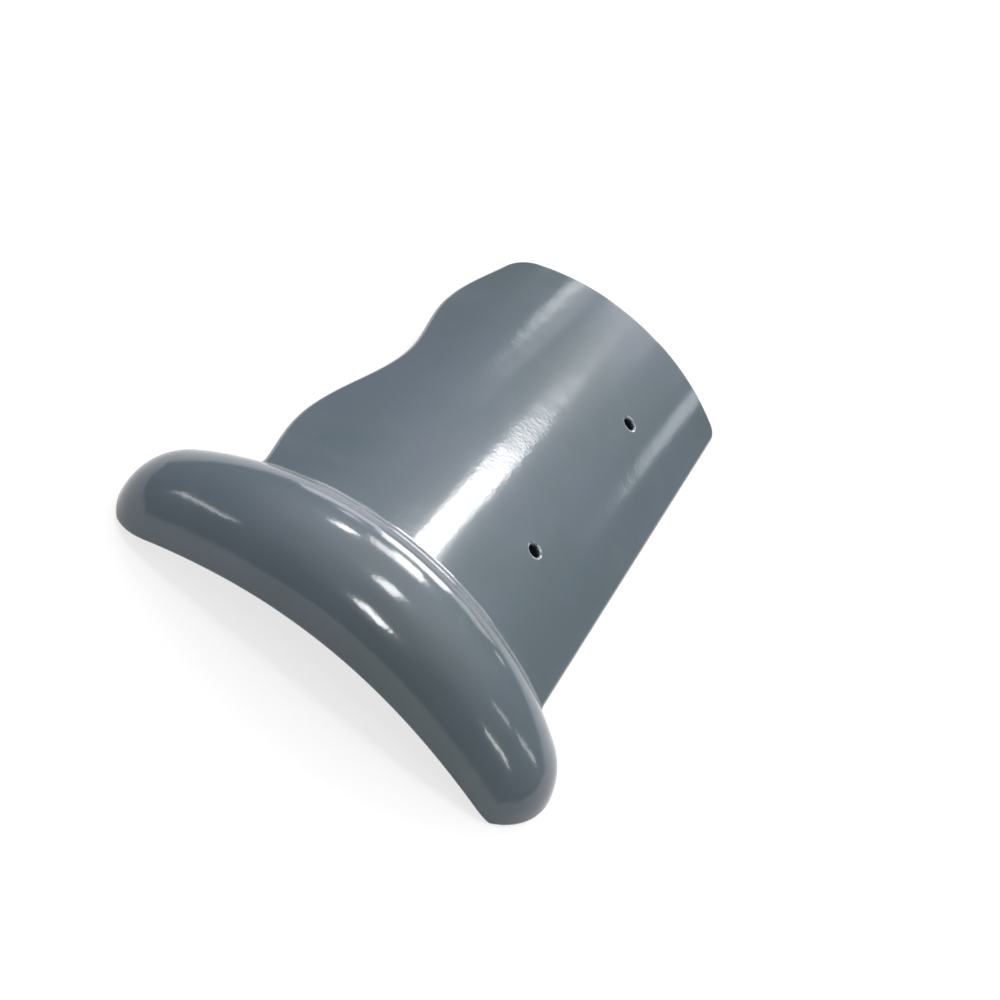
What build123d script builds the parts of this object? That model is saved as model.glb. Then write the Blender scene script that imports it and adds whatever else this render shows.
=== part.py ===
from build123d import *
import os
from math import atan2, cos, degrees, hypot, pi, radians, sin

# Wall abutment ridge tile: one pressed, fired and glazed clay piece. All sizes in mm.
# It is drawn with the barrel's axis on Y (crown up, collar towards -Y, wall side +X), and
# then set down on the floor as it rests: on the collar's feet and the back wall corner.

# barrel: part of a cone
barrel_len = 300.0         # from the collar's root to the plain back end
front_r = 170.4            # outer radius at the collar's root
back_r = 149.0             # outer radius at the back end
wall = 13.0
wall_side = 39.6           # straight edge, degrees from the crown
roof_side = 31.2           # mean line of the wavy edge, degrees from the crown
wave_amp = 7.0             # half the height of a wave
wave_pitch = 169.4         # one roof tile's wave
wave_peak = 61.0           # from the root to the first outward peak
wall_corner = 8.0          # plan radius of the back corner on the wall side
roof_corner = 17.0         # plan radius of the back corner on the roof side
edge_round = 3.0

# collar: a hollow roll with ball ends, bent round the barrel's axis
roll_r = 39.1
crest_rise = 14.1          # the roll's crest stands this far above the barrel
roll_ahead = 33.2          # the roll's centre line, in front of the root
roll_wall_side = 43.8      # centres of its ball ends, degrees from the crown
roll_roof_side = 39.7
root_round = 8.0           # hollow curve between the roll and the barrel
lip_drop = 0.4             # the crown of the mouth's arch, below the roll's centre line
mouth_margin = 100.0       # its cut starts this far in front of the roll's centre line
foot_ang = 40.8            # the rest plane cuts the centre line here, from the crown
foot_pad = 15.0            # width of the roll's side that the mouth leaves on the floor
foot_round = 2.0
flare_from = 24.0          # the bore widens towards the mouth, from this far behind the root
flare = 0.05               # gain of its radius for each unit of length
lip_round = 2.5

# nail holes near the wall edge, with softened, glazed rims
nail_d = 6.5
nail_rim = 2.5             # rounding of the rim
nail_y = (64.4, 213.8)
nail_ang = (19.0, 18.6)    # degrees from the crown, towards the wall

ring_r = front_r + crest_rise - roll_r
ring_y = -roll_ahead
foot_z = ring_r * cos(radians(foot_ang))
mouth_half = ring_r * sin(radians(foot_ang)) + roll_r - foot_pad
mouth_rise = ring_r - lip_drop - foot_z
mouth_r = (mouth_half ** 2 + mouth_rise ** 2) / (2 * mouth_rise)
mouth_z = foot_z + mouth_rise - mouth_r
taper = (front_r - back_r) / barrel_len
big = 3 * (barrel_len + front_r)


def outer_r(y):
    return front_r - taper * y


def on_barrel(y, ang, inset=0.0):
    r = outer_r(y) - inset
    return Vector(r * sin(radians(ang)), y, r * cos(radians(ang)))


def band(y0, y1, r_in, r_out):
    # a (radius, y) outline between two lines along the barrel
    return make_face(Polyline(
        (r_in(y0), y0), (r_out(y0), y0), (r_out(y1), y1), (r_in(y1), y1), close=True))


def turned(section):
    return revolve(section, Axis.Y, 360)


def beyond(ang, line, corner_r):
    # everything past one long edge and round its back corner, cut square to the shell;
    # line holds (y, outward) points on the plane that faces the shell at that edge
    a = radians(ang)
    plane = Plane(origin=(0, 0, 0), x_dir=(0, 1, 0), z_dir=(sin(a), 0, cos(a)))
    away = Vector(cos(a), 0, -sin(a)) * (1 if ang > 0 else -1)
    sign = 1 if plane.to_local_coords(away).Y > 0 else -1
    points = [(y, sign * t) for y, t in line]
    edge = Spline(*points) if len(points) > 2 else Line(*points)
    inside, outside = -0.35 * back_r * sign, front_r * sign
    rest = Polyline(points[-1], (barrel_len, inside), (points[0][0], inside), points[0])
    kept = make_face([edge, rest])
    end = Vector(*points[-1])
    corner = min(kept.vertices(), key=lambda v: (Vector(v) - end).length)
    kept = fillet(corner, corner_r)
    y0, y1 = points[0][0], barrel_len + 4 * wall
    field = make_face(Polyline(
        (y0, inside), (y1, inside), (y1, outside), (y0, outside), close=True))
    return extrude(plane * Pos(0, 0, back_r / 3) * (field - kept), 2 * front_r)


def wave_cutter():
    # two waves a tile, so that the edge follows the roof tiles
    first, steps = ring_y - 2 * wall, 12
    ys = [first + (barrel_len - first) * i / steps for i in range(steps + 1)]
    line = [(y, wave_amp * cos(2 * pi * (y - wave_peak) / wave_pitch)) for y in ys]
    return beyond(-roof_side, line, roof_corner)


def wall_cutter():
    return beyond(wall_side, [(ring_y - 2 * wall, 0.0), (barrel_len, 0.0)], wall_corner)


def barrel():
    shell = turned(band(ring_y, barrel_len, lambda y: outer_r(y) - wall, outer_r))
    shell &= Pos(0, 0, back_r / 3 + big) * Box(2 * big, 2 * big, 2 * big)
    shell -= wall_cutter()
    shell -= wave_cutter()
    rim = [e for e in shell.edges() if e.center().Y > 0 and e.length > 1.2 * wall]
    return fillet(rim, edge_round)


def roll(radius):
    # an arc of ring from ball end to ball end
    section = Pos(ring_r, ring_y) * Circle(radius)
    arc = revolve(section, Axis.Y, roll_roof_side + roll_wall_side)
    shape = Rot(Y=-(90 + roll_roof_side)) * arc
    for ang, hand in ((roll_wall_side, 1), (-roll_roof_side, -1)):
        a = radians(ang)
        centre = Vector(ring_r * sin(a), ring_y, ring_r * cos(a))
        end = Plane(origin=centre, x_dir=(0, 1, 0), z_dir=(hand * cos(a), 0, -hand * sin(a)))
        ball = Sphere(radius) & Pos(0, 0, radius) * Box(3 * radius, 3 * radius, 2 * radius)
        shape += end * ball
    return shape


def hollow():
    # the barrel's bore carried on into the collar with a slight flare, so that the next
    # tile's plain end slips in, and the roll's own hollow
    bore = turned(band(
        ring_y, flare_from + wall, lambda y: 1,
        lambda y: outer_r(y) - wall + flare * (flare_from - y)))
    return bore + roll(roll_r - wall)


def rest_plane():
    # through the feet, and touching the rounded lower edge of the back wall corner
    low = on_barrel(barrel_len, wall_side, wall)
    a = radians(wall_side)
    low += Vector(0, 0, edge_round * (sin(a) + cos(a) - 1))
    slope = (foot_z - low.Z) / (low.Y - ring_y)
    return Plane(origin=(0, ring_y, foot_z), x_dir=(1, 0, 0), z_dir=(0, slope, 1))


def off_roll(p, radius):
    # distance of a point from the skin of the roll's ring
    return abs(hypot(hypot(p.X, p.Z) - ring_r, p.Y - ring_y) - radius)


def ang_of(p):
    # degrees from the crown
    return degrees(atan2(p.X, p.Z))


def root_edges(shape):
    # where the barrel comes out of the back of the roll, without the seams of its ball ends
    found = [e for e in shape.edges() if off_roll(e @ 0.5, roll_r) < 0.5]
    return [e for e in found if (e @ 0.5).Y > ring_y
            and hypot((e @ 0.5).X, (e @ 0.5).Z) > front_r - edge_round
            and abs(ang_of(e @ 0.9) - ang_of(e @ 0.1)) > 0.3]


def lip_edges(shape):
    # the mouth's long edge, on the front of the roll
    found = [e for e in shape.edges() if off_roll(e @ 0.5, roll_r) < 0.1]
    return [e for e in found if all(
        abs(hypot((e @ t).X, (e @ t).Z - mouth_z) - mouth_r) < 0.1 for t in (0, 0.5, 1))]


def foot_edges(shape, floor):
    # the outer outline of the feet on the rest plane
    found = [e for e in shape.edges() if all(
        abs(floor.to_local_coords(e @ t).Z) < 0.1 for t in (0, 0.5, 1))]
    return [e for e in found if hypot((e @ 0.5).X, (e @ 0.5).Z) > ring_r + 0.3 * roll_r
            or (e @ 0.5).Y > ring_y + 0.5 * roll_r]


def collar(floor):
    mouth = Pos(0, ring_y - mouth_margin / 2, mouth_z) * Rot(X=90)
    shape = roll(roll_r) - mouth * Cylinder(mouth_r, mouth_margin)
    shape = fillet(lip_edges(shape), lip_round)
    shape &= floor * Pos(0, 0, big) * Box(2 * big, 2 * big, 2 * big)
    return fillet(foot_edges(shape, floor), foot_round)


def nail_plane(y, ang):
    # on the barrel's outside, facing straight out of it
    a = radians(ang)
    out = Vector(sin(a), taper, cos(a)).normalized()
    return Plane(origin=on_barrel(y, ang), x_dir=Vector(0, 1, 0) - out * out.Y, z_dir=out)


def with_nail_hole(shape, y, ang):
    spot = nail_plane(y, ang)
    shape -= spot * Cylinder(nail_d / 2, 3 * wall)
    rim = min((e for e in shape.edges() if abs(e.length - pi * nail_d) < 0.1 * nail_d),
              key=lambda e: (e.center() - spot.origin).length)
    return fillet(rim, nail_rim)


floor = rest_plane()
body = collar(floor) + barrel()
body = fillet(root_edges(body), root_round)
body &= floor * Pos(0, 0, big) * Box(2 * big, 2 * big, 2 * big)
body -= hollow()
for y, ang in zip(nail_y, nail_ang):
    body = with_nail_hole(body, y, ang)

on_floor = Location(floor).inverse()
body = on_floor * body
box = body.bounding_box()
centred = Pos(-(box.min.X + box.max.X) / 2, -(box.min.Y + box.max.Y) / 2, -box.min.Z)
part = centred * body

print(part.is_valid, len(part.solids()), round(part.volume / 1000), "cm3")
box = part.bounding_box()
print("box", [round(v, 2) for v in (*box.min, *box.max)])
for y, ang in zip(nail_y, nail_ang):
    hole = Plane(centred * on_floor * nail_plane(y, ang).location)
    print("nail hole", [round(v, 2) for v in hole.origin], [round(v, 4) for v in hole.z_dir])
end = Plane(centred * on_floor * Location(Plane(
    origin=on_barrel(barrel_len, 0, wall / 2), x_dir=(1, 0, 0), z_dir=(0, 1, 0))))
print("plain end", [round(v, 2) for v in end.origin], [round(v, 4) for v in end.z_dir])
axis = Plane(centred * on_floor * Location(Plane.XY))
print("barrel axis", [round(v, 3) for v in axis.origin], [round(v, 4) for v in axis.y_dir])

os.makedirs("parts", exist_ok=True)
export_step(part, "parts/ridge_tile.step")
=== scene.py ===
import math

import bpy
from mathutils import Matrix, Vector

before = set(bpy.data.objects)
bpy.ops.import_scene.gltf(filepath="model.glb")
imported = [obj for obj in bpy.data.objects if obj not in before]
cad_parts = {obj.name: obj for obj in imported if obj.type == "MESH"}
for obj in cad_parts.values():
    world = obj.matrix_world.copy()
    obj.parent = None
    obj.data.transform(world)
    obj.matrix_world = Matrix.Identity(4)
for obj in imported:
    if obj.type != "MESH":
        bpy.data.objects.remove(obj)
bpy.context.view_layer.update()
scene = bpy.context.scene


class Sock:
    # one socket, so that shader sums read as sums
    def __init__(self, tree, link):
        self.tree = tree
        self.link = link

    def maths(self, operation, first, second):
        return self.tree.node("ShaderNodeMath", {"operation": operation}, {0: first, 1: second})

    def __add__(self, other):
        return self.maths("ADD", self, other)

    def __sub__(self, other):
        return self.maths("SUBTRACT", self, other)

    def __rsub__(self, other):
        return self.maths("SUBTRACT", other, self)

    def __mul__(self, other):
        return self.maths("MULTIPLY", self, other)

    __radd__ = __add__
    __rmul__ = __mul__

    def clamped(self):
        return self.tree.node("ShaderNodeClamp", {}, {"Value": self})


class Tree:
    # a node tree with one way of making nodes
    def __init__(self, nodeTree):
        self.nodes = nodeTree.nodes
        self.links = nodeTree.links
        self.nodes.clear()

    def node(self, kind, settings=None, values=None, out=0):
        made = self.nodes.new(kind)
        for name, value in (settings or {}).items():
            setattr(made, name, value)
        for name, value in (values or {}).items():
            if isinstance(value, Sock):
                self.links.new(value.link, made.inputs[name])
            else:
                made.inputs[name].default_value = value
        return Sock(self, made.outputs[out]) if made.outputs else made

    def outputs(self, kind, names):
        made = self.nodes.new(kind)
        return [Sock(self, made.outputs[name]) for name in names]

    def noise(self, where, scale, detail=2.0, roughness=0.5):
        return self.node("ShaderNodeTexNoise", {}, {
            "Vector": where, "Scale": scale, "Detail": detail, "Roughness": roughness})

    def ramp(self, value, low, high):
        return self.node("ShaderNodeMapRange", {"interpolation_type": "SMOOTHSTEP"}, {
            "Value": value, "From Min": low, "From Max": high})

    def patches(self, where, scale, detail, roughness, low, high):
        # noise, seen from its low value on and in full from its high value
        return self.ramp(self.noise(where, scale, detail, roughness), low, high)

    def mix(self, mask, one, other):
        return self.node("ShaderNodeMix", {"data_type": "RGBA"}, {
            0: mask, 6: one, 7: other}, out=2)

    def vector(self, operation, one, other=(0, 0, 0), out="Vector"):
        return self.node("ShaderNodeVectorMath", {"operation": operation}, {
            0: one, 1: other}, out)

    def blend(self, mask, one, other):
        return self.node("ShaderNodeMixShader", {}, {0: mask, 1: one, 2: other})

    def seenDirectly(self):
        # by the camera, in a mirror or through glass
        names = ("Is Camera Ray", "Is Glossy Ray", "Is Transmission Ray")
        camera, glossy, through = self.outputs("ShaderNodeLightPath", names)
        return (camera + glossy + through).clamped()


def newMaterial(name):
    material = bpy.data.materials.new(name)
    material.use_nodes = True
    return material, Tree(material.node_tree)


# blue-grey gloss glaze over a fired clay body that stays bare underneath; sizes and depths
# in metres, patches as noise scale, detail, roughness, and its values where they set in
# and are full
glaze = {
    "colour": (0.101, 0.124, 0.150, 1),
    "deep": (0.090, 0.117, 0.131, 1),       # where it has pooled
    "deepPatches": (14.0, 3.0, 0.5, 0.35, 0.7),
    "thin": (0.114, 0.137, 0.158, 1),       # where it has run thin
    "thinPatches": (38.0, 4.0, 0.6, 0.5, 0.8),
    "thinShare": 0.6,
    "rough": 0.1,
    "unevenRough": 0.03,                    # the most that is added in places
    "unevenScale": 60.0,
    "ior": 1.42,
    "haze": 0.22,                           # weight of a soft second gloss
    "hazeRough": 0.27,
    "hazeIor": 1.4,
    "peelSize": 0.0024,                     # orange peel
    "peelDepth": 0.000034,
    "swellSize": 0.022,
    "swellDepth": 0.00014,
}
clay = {
    "colour": (0.33, 0.205, 0.145, 1),
    "dark": (0.24, 0.145, 0.10, 1),
    "darkGrain": (0.3, 0.75),
    "rough": 0.82,
    "grainSize": 0.0011,
    "grainDepth": 0.0004,
    "starts": (-0.45, -0.3),                # bare below the first, glazed above the second
    "raggedScale": 90.0,
    "ragged": 0.5,                          # how much its border wanders
}
barrelAxis = (-0.003536, 0.0, -0.110)       # a point on it, for telling outside from inside
nailHoles = {
    "front": ((0.05045, -0.04980, 0.04789), (0.3247, 0.0597, 0.9439)),     # middle and axis
    "back": ((0.04595, 0.09970, 0.03998), (0.3182, 0.0596, 0.9462)),
    # painted shade: the colour put down inside each nail hole, where the hole lies in shade
    "inside": (0.012, 0.015, 0.018, 1),
    "holeShadeEnds": (0.00364, 0.00429),       # distances from the axis, between which the painted shade fades out
    "edge": (0.42, 0.46, 0.47, 1),          # pale over the edge: the glaze run thin there, and a painted highlight in place of the rim's glints
    "edgeStarts": (0.0039, 0.00455),
    "edgeEnds": (0.004875, 0.0058),
    "edgePatches": (260.0, 2.0, 0.5, 0.42, 0.6),
    "edgeShare": 0.6,
}


def fromAxis(tree, where, hole):
    # distance from a nail hole's middle line
    middle, axis = hole
    crossed = tree.vector("CROSS_PRODUCT", tree.vector("SUBTRACT", where, middle), axis)
    return tree.vector("LENGTH", crossed, out="Value")


def glazeMaterial():
    material, tree = newMaterial("blueGreyGlaze")
    where = tree.node("ShaderNodeTexCoord", out="Object")
    facing = tree.node("ShaderNodeNewGeometry", out="Normal")

    # how far the surface looks away from the barrel's axis: 1 outside, -1 inside
    across = tree.vector("MULTIPLY", tree.vector("SUBTRACT", where, barrelAxis), (1, 0, 1))
    looks = tree.vector("DOT_PRODUCT", tree.vector("NORMALIZE", across), facing, out="Value")
    ragged = tree.noise(where, clay["raggedScale"], detail=3.0)
    bare = 1 - tree.ramp(looks + ragged * clay["ragged"], *clay["starts"])

    # colour: wide pools, thin places, and the clay's own grain where it is bare
    pooled = tree.patches(where, *glaze["deepPatches"])
    thinned = tree.patches(where, *glaze["thinPatches"])
    colour = tree.mix(pooled, glaze["colour"], glaze["deep"])
    colour = tree.mix(thinned * glaze["thinShare"], colour, glaze["thin"])
    grain = tree.noise(where, 1 / clay["grainSize"], detail=3.0, roughness=0.7)
    fired = tree.mix(tree.ramp(grain, *clay["darkGrain"]), clay["colour"], clay["dark"])
    colour = tree.mix(bare, colour, fired)

    # nail holes: painted shade, near black, inside them; over the edge a pale ring, partly the
    # glaze run thin there and partly a painted highlight
    rimBreakAndHighlight = tree.patches(where, *nailHoles["edgePatches"]) * nailHoles["edgeShare"]
    for hole in (nailHoles["front"], nailHoles["back"]):
        away = fromAxis(tree, where, hole)
        onEdge = tree.ramp(away, *nailHoles["edgeStarts"])
        onEdge = onEdge * (1 - tree.ramp(away, *nailHoles["edgeEnds"]))
        # the pale ring: glaze thin over the edge, and a painted highlight
        colour = tree.mix(onEdge * rimBreakAndHighlight, colour, nailHoles["edge"])
        # painted shade: near black down the hole, where it lies in shade
        inside = 1 - tree.ramp(away, *nailHoles["holeShadeEnds"])
        colour = tree.mix(inside, colour, nailHoles["inside"])

    # relief: orange peel on a slow swell, grain where the clay is bare
    peel = tree.noise(where, 1 / glaze["peelSize"], detail=1.0) * glaze["peelDepth"]
    swell = tree.noise(where, 1 / glaze["swellSize"], detail=1.0) * glaze["swellDepth"]
    height = peel + swell + bare * grain * clay["grainDepth"]
    relief = tree.node("ShaderNodeBump", {}, {
        "Strength": 1.0, "Distance": 1.0, "Height": height})

    uneven = tree.noise(where, glaze["unevenScale"]) * glaze["unevenRough"]
    rough = glaze["rough"] + uneven + bare * (clay["rough"] - glaze["rough"])
    shader = tree.node("ShaderNodeBsdfPrincipled", {}, {
        "Base Color": colour, "Roughness": rough, "IOR": glaze["ior"],
        "Coat Weight": (1 - bare) * glaze["haze"], "Coat Roughness": glaze["hazeRough"],
        "Coat IOR": glaze["hazeIor"], "Normal": relief})
    tree.node("ShaderNodeOutputMaterial", {}, {"Surface": shader})
    return material


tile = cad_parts["ridge_tile"]
glazed = glazeMaterial()
for slot in tile.material_slots:
    slot.material = glazed
print("tile glazed", len(tile.data.polygons), "faces")


floorLook = {
    "size": 60.0,
    "colour": (0.9, 0.9, 0.9, 1),
    "bounce": (0.22, 0.22, 0.22, 1),        # its colour for the light that it throws back
    "rough": 0.9,
    "glow": 0.72,                           # share of plain white where it is seen
}


def floorMaterial():
    # pale, and lifted towards white where it is seen, so that it still takes the shadow
    material, tree = newMaterial("paleFloor")
    seen = tree.seenDirectly()
    shader = tree.node("ShaderNodeBsdfPrincipled", {}, {
        "Base Color": tree.mix(seen, floorLook["bounce"], floorLook["colour"]),
        "Roughness": floorLook["rough"], "Specular IOR Level": 0.0})
    white = tree.node("ShaderNodeEmission", {}, {"Color": (1, 1, 1, 1), "Strength": 1.0})
    both = tree.blend(seen * floorLook["glow"], shader, white)
    tree.node("ShaderNodeOutputMaterial", {}, {"Surface": both})
    return material


bpy.ops.mesh.primitive_plane_add(size=floorLook["size"], location=(0, 0, 0))
floor = bpy.context.object
floor.name = "floor"
floor.data.materials.append(floorMaterial())
print("floor laid")


# lamps: the directions of a lamp's two ends (azimuth, elevation), its width in degrees, its
# glow and its colour; a colour of 1 lit by all of them renders about as written
lamps = {
    "window": ((86.7, 46), (89.7, 33), 7.0, 22.0, (1.0, 1.0, 1.0)),
    "windowHead": ((103, 44), (80, 44), 12.0, 12.0, (1.0, 0.98, 1.0)),
    "windowFoot": ((89.5, 33), (91, 30.5), 6.0, 2.2, (0.95, 0.98, 1.0)),
    "windowFloor": ((91, 30.5), (92.5, 27.5), 6.0, 0.3, (0.95, 0.98, 1.0)),
    "windowSill": ((98, 17.5), (81, 17), 13.0, 12.0, (1.0, 0.97, 1.0)),
    "sillRight": ((81, 12), (70, 12), 12.0, 2.5, (1.0, 0.96, 1.0)),
    "sillLeft": ((114, 8), (98, 10), 11.0, 3.0, (1.0, 0.96, 1.0)),
    "upperBack": ((121, 48.5), (115, 52.5), 9.0, 26.0, (1.0, 0.98, 1.0)),
    "overhead": ((-133, 88), (-28, 82.5), 11.0, 26.0, (1.0, 1.0, 1.0)),
    "frontLamp": ((-92, 44.5), (-81, 39), 7.5, 30.0, (1.0, 1.0, 1.0)),
    "leftStrip": ((-172, 21), (-144, 32), 3.0, 9.0, (1.0, 1.0, 1.0)),
    "rightLow": ((-27, 31), (-14, 22), 3.0, 15.0, (1.0, 1.0, 1.0)),
    "wallLow": ((18, 26), (27, 13), 3.0, 6.0, (1.0, 1.0, 1.0)),
    "wallHigh": ((8, 41), (14, 31), 3.0, 6.0, (1.0, 1.0, 1.0)),
    "roofSky": ((106, 23), (108, 20), 6.0, 5.0, (0.95, 0.98, 1.0)),
    "roofHigh": ((103, 26.5), (106, 23.5), 6.0, 1.2, (0.95, 0.98, 1.0)),
    "wallSky": ((62.5, 16.5), (65, 12), 3.5, 3.2, (0.95, 1.0, 1.0)),
}
lampDistance = 6.0
aim = Vector((0, -0.05, 0.04))


def direction(azimuth, elevation):
    a, e = math.radians(azimuth), math.radians(elevation)
    return Vector((math.cos(e) * math.cos(a), math.cos(e) * math.sin(a), math.sin(e)))


def addLamp(name, end, otherEnd, width, glow, colour):
    one, other = direction(*end), direction(*otherEnd)
    way = (one + other).normalized()
    along = (other - one).normalized()
    across = way.cross(along)
    length = 2 * lampDistance * math.tan(one.angle(other) / 2)
    breadth = 2 * lampDistance * math.tan(math.radians(width) / 2)
    light = bpy.data.lights.new(name, "AREA")
    light.shape = "RECTANGLE"
    light.size, light.size_y = length, breadth
    light.energy = glow * math.pi * length * breadth
    light.color = colour
    lamp = bpy.data.objects.new(name, light)
    turn = Matrix((along, across, way)).transposed().to_4x4()
    lamp.matrix_world = Matrix.Translation(aim + way * lampDistance) @ turn
    lamp.visible_camera = False
    scene.collection.objects.link(lamp)


for name, settings in lamps.items():
    addLamp(name, *settings)
print("lamps placed", len(lamps))


# the room: white at the horizon, dim above, with wide soft lights; each of those has its
# middle's direction, the angles from it at which it ends and at which it is full, and its glow
room = {
    "horizon": 1.0,
    "horizonTop": (2, 4),    # degrees above the floor, between which it turns dim
    "dim": 0.05,
    "ceiling": ((0, 90), 60, 0, 0.75),
    "skylight": ((90, 60), 50, 5, 0.7),
    "rightWall": ((20, 45), 55, 5, 0.2),
}


def roomWorld():
    world = bpy.data.worlds.new("room")
    world.use_nodes = True
    scene.world = world
    tree = Tree(world.node_tree)

    def background(glow):
        return tree.node("ShaderNodeBackground", {}, {"Color": (1, 1, 1, 1), "Strength": glow})

    where = tree.node("ShaderNodeTexCoord", out="Generated")
    height = tree.vector("DOT_PRODUCT", where, (0, 0, 1), out="Value")
    low, high = (math.sin(math.radians(angle)) for angle in room["horizonTop"])
    above = tree.ramp(height, low, high)
    total = tree.blend(above, background(room["horizon"]), background(room["dim"]))
    for middle, ends, full, glow in (room["ceiling"], room["skylight"], room["rightWall"]):
        nearness = tree.vector("DOT_PRODUCT", where, tuple(direction(*middle)), out="Value")
        low, high = (math.cos(math.radians(angle)) for angle in (ends, full))
        wide = tree.blend(tree.ramp(nearness, low, high), background(0.0), background(glow))
        total = tree.node("ShaderNodeAddShader", {}, {0: total, 1: wide})
    tree.node("ShaderNodeOutputWorld", {}, {"Surface": total})


roomWorld()
print("room lit")


view = {
    "place": (0.07406, -0.85754, 0.76213),
    "right": (0.78791, 0.43322, 0.43763),
    "down": (0.61369, -0.49379, -0.61608),
    "focal": 2031.0,         # pixels
    "frame": 1000,           # pixels across
    "sensor": 36.0,
}
right = Vector(view["right"]).normalized()
down = Vector(view["down"])
down = (down - right * down.dot(right)).normalized()
ahead = right.cross(down)
turn = Matrix((right, -down, -ahead)).transposed().to_4x4()
lens = bpy.data.cameras.new("camera")
lens.sensor_width = view["sensor"]
lens.lens = view["focal"] / view["frame"] * view["sensor"]
camera = bpy.data.objects.new("camera", lens)
camera.matrix_world = Matrix.Translation(view["place"]) @ turn
scene.collection.objects.link(camera)
scene.camera = camera
scene.view_settings.view_transform = "Standard"
print("camera set")
